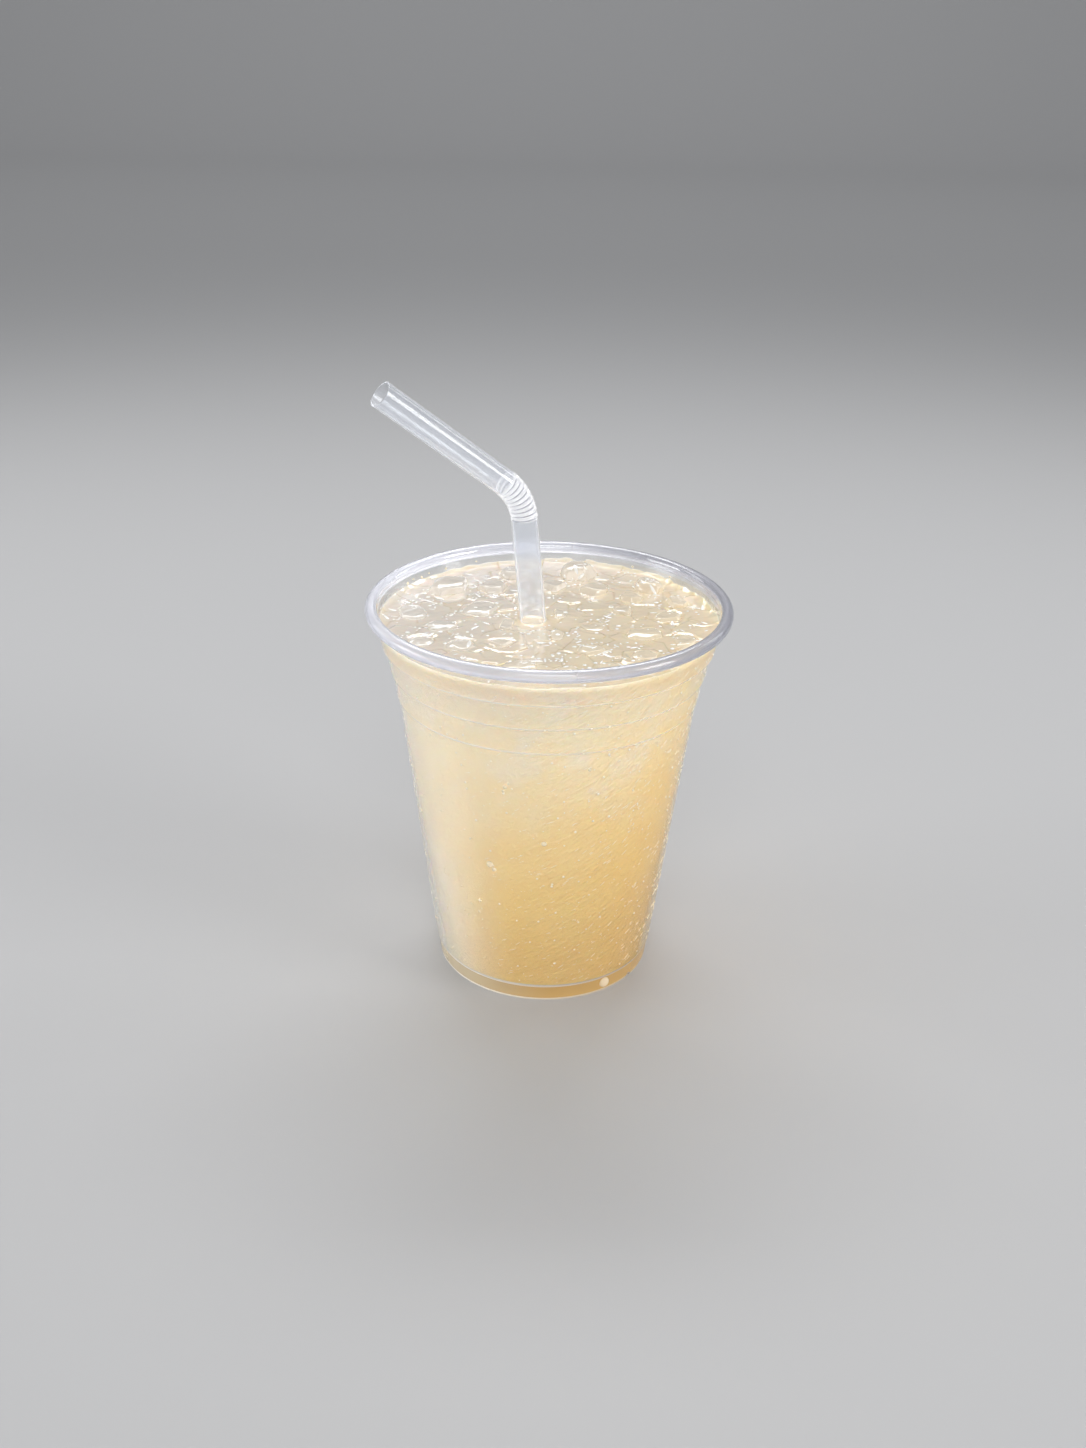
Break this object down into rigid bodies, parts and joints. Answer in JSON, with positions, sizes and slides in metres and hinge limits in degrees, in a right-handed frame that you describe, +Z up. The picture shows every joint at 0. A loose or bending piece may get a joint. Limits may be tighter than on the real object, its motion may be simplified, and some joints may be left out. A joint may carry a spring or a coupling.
{
  "type": "cup of soursop juice",
  "caption": "Clear thin-walled plastic cup filled with cloudy iced soursop juice, lumps of ice breaking the surface and a bent flexible straw standing in it.",
  "frame": {"origin": "centre of the cup's foot, on the surface that it stands on", "axes": "+Z up, -Y towards the viewer of the picture, +X to the viewer's right; the straw's mouthpiece points to -X, towards the viewer"},
  "size_m": [0.098, 0.098, 0.1689],
  "materials": {
    "clear_plastic": "clear thin plastic, glossy at the rim and misted with fine condensation outside",
    "straw_plastic": "clear plastic with a faint milky haze",
    "juice": "cloudy pale cream juice, more golden towards the bottom, wet and glossy on top",
    "ice": "melting clear ice, wet and rounded"
  },
  "bodies": {
    "root": {"cup": "clear_plastic", "straw": "straw_plastic", "drink": "juice", "ice_01": "ice", "ice_02": "ice", "ice_03": "ice", "ice_04": "ice", "ice_05": "ice", "ice_06": "ice", "ice_07": "ice", "ice_08": "ice", "ice_09": "ice", "ice_10": "ice", "ice_11": "ice", "ice_12": "ice", "ice_13": "ice", "ice_14": "ice", "ice_15": "ice", "ice_16": "ice", "ice_17": "ice", "ice_18": "ice", "ice_19": "ice", "ice_20": "ice", "ice_21": "ice", "ice_22": "ice", "ice_23": "ice", "ice_24": "ice", "ice_25": "ice", "ice_26": "ice", "ice_27": "ice", "ice_28": "ice", "ice_29": "ice", "ice_30": "ice"}
  },
  "joints": []
}
